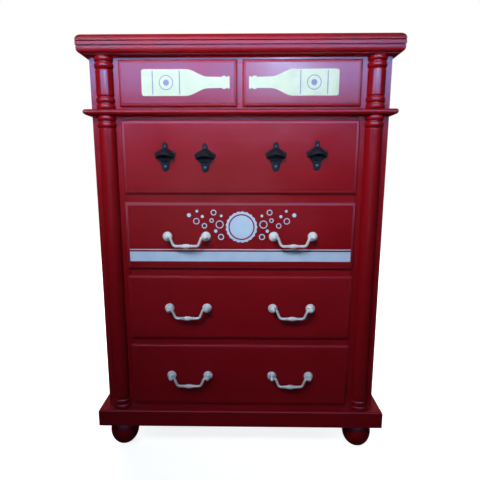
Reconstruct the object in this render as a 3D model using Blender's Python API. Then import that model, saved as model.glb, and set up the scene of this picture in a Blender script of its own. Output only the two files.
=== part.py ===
"""Tall painted chest of drawers, made as separate pieces.

Two small drawers stand over four wide ones. The second row carries four cast-iron bottle
openers, and the three rows under it carry two drop-bail pulls each. The case is a face frame
with split columns, two side panels, a plywood back, web frames under the drawers, a moulded
top and a plinth on four bun feet.

Metres, +Z up, front towards -Y. The origin is on the floor, in the middle of the whole part.
"""
import math
from itertools import product

import bmesh
import bpy

# ---------------------------------------------------------------- case
GAP = 0.0003              # clearance between pieces that touch
FRONT = -0.196            # y of the face frame's front
CASE_HALF = 0.430         # half the case's width
CASE_DEPTH = 0.4263       # face frame to the back of the plywood
FRAME_THICK = 0.020       # face frame, and every rail in line with it
SIDE_THICK = 0.018
BACK_THICK = 0.006
STILE_INNER = 0.338       # x where a stile ends and the drawer openings begin
MUNTIN_HALF = 0.0155      # half the upright between the two small drawers

FLOOR_TO_PLINTH = 0.101   # foot height
PLINTH_TOP = 0.156
CORNICE_BOTTOM = 1.243
BOARD_BOTTOM = 1.265
BOARD_TOP = 1.297
WAIST_BOTTOM = 1.081
WAIST_TOP = 1.097

BOARD_SIDE_OVERHANG = 0.025
BOARD_FRONT_OVERHANG = 0.032
WAIST_SIDE_OVERHANG = 0.017
WAIST_FRONT_OVERHANG = 0.027
PLINTH_SIDE_OVERHANG = 0.030
PLINTH_FRONT_OVERHANG = 0.026
BOARD_BACK = 0.430        # depth at which the top board and the plinth end behind
TOP_BAND = 0.011          # height of the top board's lower band
TOP_GROOVE = 0.0018       # height and depth of the groove between the top board's two bands
TOP_ROUND_WIDE = 0.0200   # the broad round on the upper band
TOP_ROUND_HIGH = 0.0190
COVE_START = 0.58         # share of the overhang at which the cornice's curve starts below
COVE_REACH = 0.38         # share of the overhang that the cornice's curve takes
COVE_HEIGHT = 0.0155
COVE_FILLET = 0.0015
WAIST_FLAT = 0.62         # share of the overhang behind the waist moulding's round
PLINTH_WALL = 0.022       # thickness of the plinth boards
PLINTH_ROUND = 0.005
PLINTH_LAP = 0.0205       # how far the plinth frame reaches in under the case
FOOT_RECESS = 0.136       # underside of the plinth frame, above the foot blocks
FOOT_BLOCK_HALF = 0.050
BLOCK_LAP = 0.012         # how far a foot block reaches into the plinth board

WEB_THICK = 0.018
WEB_RAIL = 0.050          # depth of the frames' front and back rails
RUNNER_INNER = 0.290      # x where a runner ends towards the middle
GUIDE_INNER = 0.3375
GUIDE_HEIGHT = 0.016
MIDDLE_RUNNER_HALF = 0.050

# Lowest and highest edge of each row's opening.
ROWS = {
    "top": (1.113, 1.225),
    "second": (0.8635, 1.0595),
    "third": (0.633, 0.822),
    "fourth": (0.406, 0.595),
    "fifth": (0.179, 0.368),
}

# Each drawer's row, and the left and right edge of its opening.
DRAWERS = {
    "top_left": ("top", -STILE_INNER, -MUNTIN_HALF),
    "top_right": ("top", MUNTIN_HALF, STILE_INNER),
    "second": ("second", -STILE_INNER, STILE_INNER),
    "third": ("third", -STILE_INNER, STILE_INNER),
    "fourth": ("fourth", -STILE_INNER, STILE_INNER),
    "fifth": ("fifth", -STILE_INNER, STILE_INNER),
}

# ---------------------------------------------------------------- columns and feet
COLUMN_X = 0.388
COLUMN_BEHIND = 0.005     # the turning's axis lies this far behind the stile's face
RING_RADIUS = 0.0285
SHAFT_RADIUS = 0.0265
NECK_RADIUS = 0.0245
RING_HEIGHT = 0.0150
NECK_HEIGHT = 0.0035

FOOT_X = 0.3975
FOOT_INSET = 0.042        # from the case's front or back to the foot's axis
FOOT_RADIUS = 0.0475
FOOT_NECK = 0.029
FOOT_MIDDLE = 0.0505      # height of the foot's widest point
FOOT_BULGE = 0.0535       # half the height of the ball that the foot is cut from

# ---------------------------------------------------------------- drawers
LIP = 0.008               # how far a front laps over the case
PROUD = 0.0095            # how far a front's face stands out from the case
CORE_BACK = 0.0105        # how far a front reaches into its opening
CORE_CLEARANCE = 0.0025
THUMBNAIL = 0.0085        # width of the moulded edge
THUMBNAIL_DROP = 0.0055
BOX_DEPTH = 0.380
BOX_WALL = 0.012
BOX_TOP_CLEARANCE = 0.006
BASE_THICK = 0.004        # hardboard drawer bottom
BASE_RISE = 0.010         # from the sides' lower edge to the groove
GROOVE_DEPTH = 0.005

# ---------------------------------------------------------------- pulls
PULL_ROWS = ("third", "fourth", "fifth")
PULL_X = 0.1610           # centre of each pull from the middle of the drawer
POST_HALF = 0.0585        # half the distance between a pull's two posts
ROSETTE_RADIUS = 0.0145
HEAD_OUT = 0.022          # from the drawer's face to the bail's axis
HEAD_RADIUS = 0.0070
BORE_RADIUS = 0.0028
PIN_RADIUS = 0.0022
BAIL_RADIUS = 0.0040
BAIL_DROP = 0.0265
BEND_X = 0.0285           # centre of the round bend between the grip and the arm
BEND_RADIUS = 0.0120
SWELL_RADIUS = 0.0068
SWELL_HALF = 0.0175

# ---------------------------------------------------------------- bottle openers
OPENER_HEIGHT = 0.9637
OPENER_PLACES = {"1": (-0.219, 0.0), "2": (-0.102, -0.003), "3": (0.105, 0.0), "4": (0.225, 0.003)}
PLATE_THICK = 0.004
SCREW_SPREAD = 0.0288     # from the opener's middle to each screw
SCREW_HOLE = 0.0026


def clear_scene():
    for thing in list(bpy.data.objects):
        bpy.data.objects.remove(thing, do_unlink=True)


def paint(name, colour, roughness, metallic=0.0):
    material = bpy.data.materials.new(name)
    material.use_nodes = True
    shader = material.node_tree.nodes["Principled BSDF"]
    shader.inputs["Base Color"].default_value = (*colour, 1.0)
    shader.inputs["Roughness"].default_value = roughness
    shader.inputs["Metallic"].default_value = metallic
    return material


def finish_mesh(bm, name, smooth_angle=None):
    """Turns a bmesh into a mesh whose faces all point outwards."""
    bmesh.ops.recalc_face_normals(bm, faces=bm.faces)
    mesh = bpy.data.meshes.new(name)
    bm.to_mesh(mesh)
    bm.free()
    if smooth_angle is not None:
        mesh.shade_smooth()
        mesh.set_sharp_from_angle(angle=math.radians(smooth_angle))
    return mesh


def add_node(name, mesh, material, location=(0.0, 0.0, 0.0), rotation=(0.0, 0.0, 0.0), parent=None):
    """Adds one sub-part with its own copy of the material."""
    node = bpy.data.objects.new(name, mesh)
    own = material.copy()
    own.name = name + "_finish"
    if not mesh.materials:
        mesh.materials.append(material)
    node.material_slots[0].link = "OBJECT"
    node.material_slots[0].material = own
    node.location = location
    node.rotation_euler = rotation
    node.parent = parent
    bpy.context.scene.collection.objects.link(node)
    return node


def add_empty(name, location, parent=None):
    empty = bpy.data.objects.new(name, None)
    empty.location = location
    empty.parent = parent
    empty.empty_display_size = 0.05
    bpy.context.scene.collection.objects.link(empty)
    return empty


def block_mesh(name, boxes):
    """One closed mesh around the union of boxes, each ((x0, y0, z0), (x1, y1, z1))."""
    cuts = []
    for axis in range(3):
        cuts.append(sorted({round(corner[axis], 6) for box in boxes for corner in box}))
    filled = set()
    for low, high in boxes:
        spans = []
        for axis in range(3):
            start = cuts[axis].index(round(low[axis], 6))
            stop = cuts[axis].index(round(high[axis], 6))
            spans.append(range(start, stop))
        filled.update(product(*spans))
    bm = bmesh.new()
    verts = {}

    def corner(index):
        if index not in verts:
            verts[index] = bm.verts.new([cuts[axis][index[axis]] for axis in range(3)])
        return verts[index]

    for cell in sorted(filled):
        for axis, side in product(range(3), (0, 1)):
            beside = list(cell)
            beside[axis] += 2 * side - 1
            if tuple(beside) in filled:
                continue
            second, third = [a for a in range(3) if a != axis]
            loop = []
            for step_two, step_three in ((0, 0), (1, 0), (1, 1), (0, 1)):
                index = list(cell)
                index[axis] += side
                index[second] += step_two
                index[third] += step_three
                loop.append(corner(tuple(index)))
            bm.faces.new(loop)
    bmesh.ops.recalc_face_normals(bm, faces=bm.faces)
    bmesh.ops.dissolve_limit(bm, angle_limit=math.radians(1), verts=bm.verts, edges=bm.edges)
    return finish_mesh(bm, name)


def loft_mesh(name, rings, smooth_angle=None):
    """One closed mesh through rings of equally many points, capped at both ends."""
    bm = bmesh.new()
    loops = [[bm.verts.new(point) for point in ring] for ring in rings]
    count = len(loops[0])
    for lower, upper in zip(loops, loops[1:]):
        for i in range(count):
            j = (i + 1) % count
            bm.faces.new((lower[i], lower[j], upper[j], upper[i]))
    bm.faces.new(loops[0])
    bm.faces.new(loops[-1])
    return finish_mesh(bm, name, smooth_angle)


def moulding_mesh(name, profile, corners, closed=False, smooth_angle=30):
    """A profile of (outward, height) points swept through corners of (x, y, out_x, out_y)."""
    bm = bmesh.new()
    loops = []
    for x, y, out_x, out_y in corners:
        loops.append([bm.verts.new((x + d * out_x, y + d * out_y, z)) for d, z in profile])
    pairs = list(zip(loops, loops[1:]))
    if closed:
        pairs.append((loops[-1], loops[0]))
    else:
        bm.faces.new(loops[0])
        bm.faces.new(loops[-1])
    count = len(profile)
    for near, far in pairs:
        for i in range(count):
            j = (i + 1) % count
            bm.faces.new((near[i], near[j], far[j], far[i]))
    return finish_mesh(bm, name, smooth_angle)


def turned_mesh(name, profile, segments, smooth_angle=35):
    """A (radius, height) profile turned once about Z, with flat ends."""
    rings = []
    for radius, z in profile:
        ring = []
        for i in range(segments):
            turn = 2 * math.pi * i / segments
            ring.append((radius * math.cos(turn), radius * math.sin(turn), z))
        rings.append(ring)
    return loft_mesh(name, rings, smooth_angle)


def split_turned_mesh(name, profile, segments, flat):
    """A turned profile sawn flat at `flat` in front of its axis, keeping the part towards -Y."""
    rings = []
    for radius, z in profile:
        edge = math.asin(flat / radius)
        ring = []
        for i in range(segments + 1):
            turn = math.pi + edge + (math.pi - 2 * edge) * i / segments
            ring.append((radius * math.cos(turn), radius * math.sin(turn), z))
        rings.append(ring)
    return loft_mesh(name, rings, 35)


def arc(centre, radius, start, stop, steps):
    """Points on an arc from `start` to `stop` degrees, both ends kept."""
    points = []
    for i in range(steps + 1):
        turn = math.radians(start + (stop - start) * i / steps)
        points.append((centre[0] + radius * math.cos(turn), centre[1] + radius * math.sin(turn)))
    return points


def add_boolean(node, cutter, operation):
    cutter.hide_render = True
    cutter.display_type = "WIRE"
    modifier = node.modifiers.new(operation.lower(), "BOOLEAN")
    modifier.operation = operation
    modifier.solver = "EXACT"
    modifier.object = cutter


def add_cutter(name, mesh, location=(0.0, 0.0, 0.0), rotation=(0.0, 0.0, 0.0), parent=None):
    cutter = bpy.data.objects.new(name, mesh)
    cutter.location = location
    cutter.rotation_euler = rotation
    cutter.parent = parent
    cutter.hide_render = True
    cutter.display_type = "WIRE"
    bpy.context.scene.collection.objects.link(cutter)
    return cutter


def cut_template(name, mesh, steps, smooth_angle=35):
    """A mesh after a row of Booleans, each (operation, mesh, location, rotation)."""
    work = add_cutter(name + "_template", mesh)
    tools = []
    for operation, tool_mesh, location, rotation in steps:
        tool = add_cutter(name + "_tool", tool_mesh, location, rotation)
        add_boolean(work, tool, operation)
        tools.append(tool)
    bpy.context.view_layer.update()
    graph = bpy.context.evaluated_depsgraph_get()
    result = bpy.data.meshes.new_from_object(work.evaluated_get(graph))
    result.name = name
    for thing in [work] + tools:
        bpy.data.objects.remove(thing, do_unlink=True)
    result.shade_smooth()
    result.set_sharp_from_angle(angle=math.radians(smooth_angle))
    return result


# ---------------------------------------------------------------- the case's pieces


def make_top(red):
    """The top board: two bands with a groove between them, broadly rounded at its upper edge."""
    mid = BOARD_BOTTOM + TOP_BAND
    edge = [(0.0, BOARD_BOTTOM + GAP), (0.0, mid - TOP_GROOVE / 2), (TOP_GROOVE, mid)]
    steps = 6
    for i in range(steps + 1):
        turn = math.pi / 2 * i / steps
        edge.append((TOP_ROUND_WIDE * (1 - math.cos(turn)),
                     BOARD_TOP - TOP_ROUND_HIGH * (1 - math.sin(turn))))
    rings = []
    for inset, z in edge:
        x = CASE_HALF + BOARD_SIDE_OVERHANG - inset
        y = FRONT - BOARD_FRONT_OVERHANG + inset
        back = FRONT + BOARD_BACK
        rings.append([(-x, y, z), (x, y, z), (x, back, z), (-x, back, z)])
    add_node("top_board", loft_mesh("top_board", rings, 30), red)


def round_over(radius, top, steps=3):
    """(inset, height) points of a quarter round that ends flush with `top`."""
    points = []
    for i in range(steps + 1):
        turn = math.pi / 2 * i / steps
        points.append((radius * (1 - math.cos(turn)), top - radius * (1 - math.sin(turn))))
    return points


def around_three_sides(side_overhang, front_overhang):
    """Corners of a moulding on the case's sides and front; outward 1.0 reaches the overhang."""
    x = CASE_HALF + GAP
    front = FRONT - GAP
    back = FRONT + CASE_DEPTH
    side = side_overhang - GAP
    ahead = front_overhang - GAP
    return [(-x, back, -side, 0.0), (-x, front, -side, -ahead),
            (x, front, side, -ahead), (x, back, side, 0.0)]


def make_cornice(red):
    """The ovolo moulding under the top board."""
    low = CORNICE_BOTTOM
    high = BOARD_BOTTOM - GAP
    quirk = COVE_START + COVE_REACH - 0.06
    profile = [(0.0, low), (COVE_START - 0.06, low), (COVE_START, low + COVE_FILLET)]
    for i in range(1, 6):
        turn = math.pi / 2 * i / 5
        profile.append((COVE_START + COVE_REACH * math.sin(turn),
                        low + 2 * COVE_FILLET + COVE_HEIGHT * (1 - math.cos(turn))))
    profile += [(quirk, high - COVE_FILLET), (quirk, high), (0.0, high)]
    corners = around_three_sides(BOARD_SIDE_OVERHANG, BOARD_FRONT_OVERHANG)
    add_node("cornice_moulding", moulding_mesh("cornice_moulding", profile, corners), red)


def make_waist(red):
    """The half-round moulding between the small drawers and the wide ones."""
    middle = (WAIST_BOTTOM + WAIST_TOP) / 2
    half = (WAIST_TOP - WAIST_BOTTOM) / 2
    profile = [(0.0, WAIST_BOTTOM)]
    for i in range(7):
        turn = math.pi * i / 6 - math.pi / 2
        reach = WAIST_FLAT + (1 - WAIST_FLAT) * math.cos(turn)
        profile.append((reach, middle + half * math.sin(turn)))
    profile.append((0.0, WAIST_TOP))
    corners = around_three_sides(WAIST_SIDE_OVERHANG, WAIST_FRONT_OVERHANG)
    add_node("waist_moulding", moulding_mesh("waist_moulding", profile, corners), red)


def make_panels(red, plywood):
    low = PLINTH_TOP + GAP
    high = BOARD_BOTTOM - GAP
    near = FRONT + FRAME_THICK + GAP
    far = FRONT + CASE_DEPTH - BACK_THICK - GAP
    for side, sign in (("left", -1), ("right", 1)):
        name = "side_panel_" + side
        x0, x1 = sorted((sign * (CASE_HALF - SIDE_THICK), sign * CASE_HALF))
        add_node(name, block_mesh(name, [((x0, near, low), (x1, far, high))]), red)
    back = FRONT + CASE_DEPTH
    sheet = [((-CASE_HALF, back - BACK_THICK, low), (CASE_HALF, back, high))]
    add_node("back_panel", block_mesh("back_panel", sheet), plywood)


def make_face_frame(red):
    """Two stiles, a top rail, a bottom rail and the upright between the small drawers."""
    low = PLINTH_TOP + GAP
    high = BOARD_BOTTOM - GAP
    near = FRONT
    far = FRONT + FRAME_THICK
    boxes = [
        ((-CASE_HALF, near, low), (-STILE_INNER, far, high)),
        ((STILE_INNER, near, low), (CASE_HALF, far, high)),
        ((-STILE_INNER, near, ROWS["top"][1]), (STILE_INNER, far, high)),
        ((-STILE_INNER, near, low), (STILE_INNER, far, ROWS["fifth"][0])),
        ((-MUNTIN_HALF, near, ROWS["top"][0] + GAP), (MUNTIN_HALF, far, ROWS["top"][1])),
    ]
    add_node("face_frame", block_mesh("face_frame", boxes), red)


def make_columns(red):
    """Split turnings on the stiles, with a pair of rings at each end."""
    for part, low, high in (("upper", WAIST_TOP + GAP, CORNICE_BOTTOM - GAP),
                            ("lower", PLINTH_TOP + GAP, WAIST_BOTTOM - GAP)):
        lower_end = column_end()
        profile = [(radius, low + z) for radius, z in lower_end]
        profile += [(radius, high - z) for radius, z in reversed(lower_end)]
        for side, sign in (("left", -1), ("right", 1)):
            name = "column_" + part + "_" + side
            mesh = split_turned_mesh(name, profile, 8, COLUMN_BEHIND + GAP)
            add_node(name, mesh, red, (sign * COLUMN_X, FRONT + COLUMN_BEHIND, 0.0))


def column_end():
    """(radius, height) of two rings and the start of the shaft, from the end inwards."""
    points = []
    for ring in range(2):
        foot = ring * (RING_HEIGHT + NECK_HEIGHT)
        for i in range(5):
            turn = math.pi * i / 4
            swell = (RING_RADIUS - NECK_RADIUS) * math.sin(turn)
            height = foot + RING_HEIGHT * (1 - math.cos(turn)) / 2
            points.append((NECK_RADIUS + swell, height))
    shaft = 2 * (RING_HEIGHT + NECK_HEIGHT)
    points.append((NECK_RADIUS, shaft - 0.0005))
    points.append((SHAFT_RADIUS, shaft + 0.002))
    return points


def make_web_frames(red):
    """Frames that carry the drawers: painted front rail, two runners with guides, a back rail."""
    levels = [("fifth", "fourth"), ("fourth", "third"), ("third", "second"), ("second", "top")]
    inner = CASE_HALF - SIDE_THICK - GAP
    rail_half = STILE_INNER - GAP
    behind = FRONT + FRAME_THICK + GAP
    far = FRONT + CASE_DEPTH - BACK_THICK - GAP - GAP
    for number, (below, above) in enumerate(levels, start=1):
        low = ROWS[below][1]
        top = ROWS[above][0]
        base = top - WEB_THICK
        boxes = [((-rail_half, FRONT, low), (rail_half, behind, top))]
        boxes.append(((-inner, behind, base), (inner, behind + WEB_RAIL, top)))
        boxes.append(((-inner, far - WEB_RAIL, base), (inner, far, top)))
        for sign in (-1, 1):
            x0, x1 = sorted((sign * RUNNER_INNER, sign * inner))
            boxes.append(((x0, behind, base), (x1, far, top)))
            x0, x1 = sorted((sign * GUIDE_INNER, sign * inner))
            boxes.append(((x0, behind, base), (x1, far, top + GUIDE_HEIGHT)))
        if above == "top":
            boxes.append(((-MIDDLE_RUNNER_HALF, behind, base), (MIDDLE_RUNNER_HALF, far, top)))
            guide = MUNTIN_HALF - 0.001
            boxes.append(((-guide, behind, base), (guide, far, top + GUIDE_HEIGHT)))
        name = "web_frame_" + str(number)
        add_node(name, block_mesh(name, boxes), red)


def make_plinth(red):
    """The plinth: a moulded frame round all four sides, with the lowest drawer's runners."""
    ahead = PLINTH_SIDE_OVERHANG - PLINTH_FRONT_OVERHANG
    front = FRONT + ahead
    back = FRONT + BOARD_BACK - PLINTH_SIDE_OVERHANG
    x = CASE_HALF
    wall = PLINTH_SIDE_OVERHANG - PLINTH_WALL
    runner_top = ROWS["fifth"][0] - GAP
    runner_low = runner_top - WEB_THICK
    runner = RUNNER_INNER - CASE_HALF
    profile = [(wall, FLOOR_TO_PLINTH), (PLINTH_SIDE_OVERHANG, FLOOR_TO_PLINTH)]
    for inset, z in round_over(PLINTH_ROUND, PLINTH_TOP):
        profile.append((PLINTH_SIDE_OVERHANG - inset, z))
    profile += [(-PLINTH_LAP, PLINTH_TOP), (-PLINTH_LAP, runner_top), (runner, runner_top)]
    profile += [(runner, runner_low), (-2 * PLINTH_LAP, runner_low), (-2 * PLINTH_LAP, FOOT_RECESS)]
    profile += [(wall, FOOT_RECESS)]
    corners = [(-x, front, -1, -1), (x, front, 1, -1), (x, back, 1, 1), (-x, back, -1, 1)]
    plinth = add_node("base_plinth", moulding_mesh("base_plinth", profile, corners, closed=True), red)
    for index, (fx, fy) in enumerate(foot_places()):
        outer = math.copysign(CASE_HALF + BLOCK_LAP, fx)
        x0, x1 = sorted((fx - math.copysign(FOOT_BLOCK_HALF, fx), outer))
        y0 = front - BLOCK_LAP if fy < 0 else fy - FOOT_BLOCK_HALF
        y1 = fy + FOOT_BLOCK_HALF if fy < 0 else back + BLOCK_LAP
        name = "foot_block_" + str(index + 1)
        block = block_mesh(name, [((x0, y0, FLOOR_TO_PLINTH), (x1, y1, FOOT_RECESS + 0.005))])
        add_boolean(plinth, add_cutter(name, block), "UNION")


def foot_places():
    near = FRONT + FOOT_INSET
    far = FRONT + CASE_DEPTH - FOOT_INSET
    return [(-FOOT_X, near), (FOOT_X, near), (-FOOT_X, far), (FOOT_X, far)]


def make_feet(red):
    """Turned bun feet, almost balls, with a flat to stand on and a short neck above."""
    top = FLOOR_TO_PLINTH - GAP
    steps = 8
    start = math.asin(-FOOT_MIDDLE / FOOT_BULGE)
    stop = math.acos(FOOT_NECK / FOOT_RADIUS)
    profile = []
    for i in range(steps + 1):
        turn = start + (stop - start) * i / steps
        profile.append((FOOT_RADIUS * math.cos(turn), FOOT_MIDDLE + FOOT_BULGE * math.sin(turn)))
    profile.append((FOOT_NECK, top))
    mesh = turned_mesh("bun_foot", profile, 18)
    names = ("front_left", "front_right", "back_left", "back_right")
    for name, (x, y) in zip(names, foot_places()):
        add_node("bun_foot_" + name, mesh, red, (x, y, 0.0))


# ---------------------------------------------------------------- the drawers


def drawer_size(drawer):
    """Opening width and height, and the opening's centre."""
    row, x0, x1 = DRAWERS[drawer]
    z0, z1 = ROWS[row]
    return x1 - x0, z1 - z0, (x0 + x1) / 2, (z0 + z1) / 2


def front_mesh(name, width, height):
    """A lipped drawer front with a thumbnail edge, about the middle of its opening."""
    core = LIP + CORE_CLEARANCE
    steps = [(core, CORE_BACK), (core, -GAP), (0.0, -GAP), (0.0, THUMBNAIL_DROP - PROUD)]
    for i in range(1, 5):
        turn = math.pi / 2 * i / 4
        steps.append((THUMBNAIL * (1 - math.cos(turn)),
                      THUMBNAIL_DROP * (1 - math.sin(turn)) - PROUD))
    rings = []
    for inset, y in steps:
        x = width / 2 + LIP - inset
        z = height / 2 + LIP - inset
        rings.append([(-x, y, -z), (x, y, -z), (x, y, z), (-x, y, z)])
    return loft_mesh(name, rings, 30)


def box_mesh(name, half, low, high):
    """Two sides and a back. The sides are grooved, and the back stops above the bottom."""
    near = CORE_BACK + GAP
    far = near + BOX_DEPTH
    groove_low = low + BASE_RISE
    groove_high = groove_low + BASE_THICK + 2 * GAP
    inner = half - BOX_WALL
    boxes = [((-inner, far - BOX_WALL, groove_high), (inner, far, high))]
    for sign in (-1, 1):
        for wall, z0, z1 in ((BOX_WALL, low, groove_low),
                             (BOX_WALL - GROOVE_DEPTH, groove_low, groove_high),
                             (BOX_WALL, groove_high, high)):
            x0, x1 = sorted((sign * (half - wall), sign * half))
            boxes.append(((x0, near, z0), (x1, far, z1)))
    return block_mesh(name, boxes)


def make_drawer(drawer, red, bare_wood, hardboard):
    width, height, centre_x, centre_z = drawer_size(drawer)
    home = add_empty(drawer + "_drawer", (centre_x, FRONT, centre_z))
    half = width / 2 - CORE_CLEARANCE
    low = GAP - height / 2
    high = height / 2 - BOX_TOP_CLEARANCE
    base_low = low + BASE_RISE + GAP
    base_half = half - BOX_WALL + GROOVE_DEPTH - GAP
    base_near = CORE_BACK - GROOVE_DEPTH + GAP
    base_far = CORE_BACK + GAP + BOX_DEPTH

    name = drawer + "_drawer_front"
    front = add_node(name, front_mesh(name, width, height), red, parent=home)
    slot = block_mesh(name + "_groove", [((-base_half - GAP, CORE_BACK - GROOVE_DEPTH, base_low - GAP),
                                          (base_half + GAP, CORE_BACK + 0.005,
                                           base_low + BASE_THICK + GAP))])
    add_boolean(front, add_cutter(name + "_groove", slot, parent=home), "DIFFERENCE")

    name = drawer + "_drawer_box"
    add_node(name, box_mesh(name, half, low, high), bare_wood, parent=home)

    name = drawer + "_drawer_base"
    sheet = [((-base_half, base_near, base_low), (base_half, base_far, base_low + BASE_THICK))]
    add_node(name, block_mesh(name, sheet), hardboard, parent=home)
    return home


# ---------------------------------------------------------------- pulls


def post_mesh():
    """A pull's post about Z: rosette, stem and a ball head bored across for the bail."""
    profile = [(ROSETTE_RADIUS, GAP), (ROSETTE_RADIUS - 0.0005, 0.0030),
               (ROSETTE_RADIUS - 0.0040, 0.0060), (0.0045, 0.0085)]
    for degrees in (-50, -18, 18, 50):
        turn = math.radians(degrees)
        profile.append((HEAD_RADIUS * math.cos(turn), HEAD_OUT + HEAD_RADIUS * math.sin(turn)))
    profile.append((0.0015, HEAD_OUT + HEAD_RADIUS))
    body = turned_mesh("pull_post_body", profile, 12)
    bore = turned_mesh("pull_post_bore", [(BORE_RADIUS, -0.02), (BORE_RADIUS, 0.02)], 8)
    steps = [("DIFFERENCE", bore, (0.0, 0.0, HEAD_OUT), (0.0, math.pi / 2, 0.0))]
    return cut_template("pull_post", body, steps)


def bail_centreline():
    """(x, z, radius) from the middle of the grip out to the right-hand pin."""
    swell = []
    steps = 3
    for i in range(steps + 1):
        turn = math.pi / 2 * i / steps
        lift = (SWELL_RADIUS - BAIL_RADIUS) * math.cos(turn) ** 2
        swell.append((SWELL_HALF * i / steps, -BAIL_DROP, BAIL_RADIUS + lift))
    bend = []
    for x, z in arc((BEND_X, BEND_RADIUS - BAIL_DROP), BEND_RADIUS, -90, -28, 4):
        bend.append((x, z, BAIL_RADIUS))
    head = POST_HALF
    arm = [(head - 0.0140, -0.0070, BAIL_RADIUS), (head - 0.0120, -0.0022, BAIL_RADIUS),
           (head - 0.0085, 0.0, BAIL_RADIUS), (head - 0.0080, 0.0, PIN_RADIUS),
           (head + 0.0050, 0.0, PIN_RADIUS)]
    return swell + bend + arm


def bail_mesh():
    """The swinging handle, about its own axis, hanging straight down."""
    right = bail_centreline()
    line = [(-x, z, radius) for x, z, radius in reversed(right[1:])] + right
    sides = 8
    rings = []
    for index, (x, z, radius) in enumerate(line):
        before = line[max(index - 1, 0)]
        after = line[min(index + 1, len(line) - 1)]
        along_x = after[0] - before[0]
        along_z = after[1] - before[1]
        length = math.hypot(along_x, along_z)
        across = (-along_z / length, along_x / length)
        ring = []
        for i in range(sides):
            turn = 2 * math.pi * (i + 0.5) / sides
            out = radius * math.cos(turn)
            ring.append((x + out * across[0], radius * math.sin(turn), z + out * across[1]))
        rings.append(ring)
    return loft_mesh("pull_bail", rings, 40)


def make_pulls(homes, white):
    post = post_mesh()
    bail = bail_mesh()
    for row in PULL_ROWS:
        home = homes[row]
        for side, sign in (("left", -1), ("right", 1)):
            name = row + "_drawer_" + side + "_"
            for end, step in (("left", -1), ("right", 1)):
                place = (sign * PULL_X + step * POST_HALF, -PROUD, 0.0)
                add_node(name + "post_" + end, post, white, place, (math.pi / 2, 0.0, 0.0), home)
            place = (sign * PULL_X, -PROUD - HEAD_OUT, 0.0)
            add_node(name + "bail", bail, white, place, parent=home)


# ---------------------------------------------------------------- bottle openers


def opener_outline():
    """The backplate seen from the front: a narrow upper tab, two wings and a round lower tab."""
    right = arc((0.0, 0.0345), 0.0075, 90, 0, 3)
    right += [(0.0075, 0.0235), (0.0180, 0.0185), (0.0300, 0.0120), (0.0325, 0.0080)]
    right += [(0.0300, 0.0035), (0.0180, -0.0100), (0.0120, -0.0200)]
    right += arc((0.0, -0.0310), 0.0110, 10, -90, 4)
    left = [(-x, z) for x, z in reversed(right[1:-1])]
    return right + left


def hood_mesh():
    """The hood that levers the cap: a visor that is open below."""
    rows = [(0.010, 0.003, 0.0235), (0.019, 0.013, 0.0215), (0.026, 0.021, 0.0150), (0.0295, 0.026, 0.0030)]
    thick = 0.0035
    across = 8
    outer = []
    inner = []
    for index, (half, out, z) in enumerate(rows):
        rim = index == len(rows) - 1
        shell = [(half, out, z, outer), (half - thick, out - thick, z if rim else z - thick, inner)]
        for reach, depth, height, target in shell:
            line = []
            for i in range(across + 1):
                turn = math.pi * i / across - math.pi / 2
                droop = 0.005 * math.sin(turn) ** 2
                y = -0.0020 - max(depth, 0.0008) * math.cos(turn)
                line.append((reach * math.sin(turn), y, height - droop))
            target.append(line)
    bm = bmesh.new()
    sheets = [[[bm.verts.new(point) for point in line] for line in sheet] for sheet in (outer, inner)]
    last = len(rows) - 1
    for sheet in sheets:
        for j in range(last):
            for i in range(across):
                bm.faces.new((sheet[j][i], sheet[j][i + 1], sheet[j + 1][i + 1], sheet[j + 1][i]))
    front, back = sheets
    for i in range(across):
        for j in (0, last):
            bm.faces.new((front[j][i], front[j][i + 1], back[j][i + 1], back[j][i]))
    for j in range(last):
        for i in (0, across):
            bm.faces.new((front[j][i], front[j + 1][i], back[j + 1][i], back[j][i]))
    return finish_mesh(bm, "opener_hood")


def opener_mesh():
    """The whole casting, about its middle, standing on the drawer's face at y = 0."""
    outline = opener_outline()
    rings = []
    for y, shrink in ((-GAP, 1.0), (-PLATE_THICK + 0.001, 1.0), (-PLATE_THICK, 0.97)):
        rings.append([(x * shrink, y, z * shrink) for x, z in outline])
    plate = loft_mesh("opener_plate", rings)
    tooth = block_mesh("opener_tooth", [((-0.006, -0.0105, -0.0125), (0.006, -0.002, -0.0085))])
    hole = turned_mesh("opener_hole", [(SCREW_HOLE, -0.02), (SCREW_HOLE, 0.02)], 12)
    flat = (math.pi / 2, 0.0, 0.0)
    steps = [("UNION", hood_mesh(), (0.0, 0.0, 0.0), (0.0, 0.0, 0.0)),
             ("UNION", tooth, (0.0, 0.0, 0.0), (0.0, 0.0, 0.0)),
             ("DIFFERENCE", hole, (0.0, 0.0, SCREW_SPREAD), flat),
             ("DIFFERENCE", hole, (0.0, 0.0, -SCREW_SPREAD), flat)]
    return cut_template("bottle_opener", plate, steps, 30)


def make_openers(home, iron):
    mesh = opener_mesh()
    for number, (x, lift) in OPENER_PLACES.items():
        place = (x, -PROUD, OPENER_HEIGHT + lift - home.location.z)
        add_node("bottle_opener_" + number, mesh, iron, place, parent=home)


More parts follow.
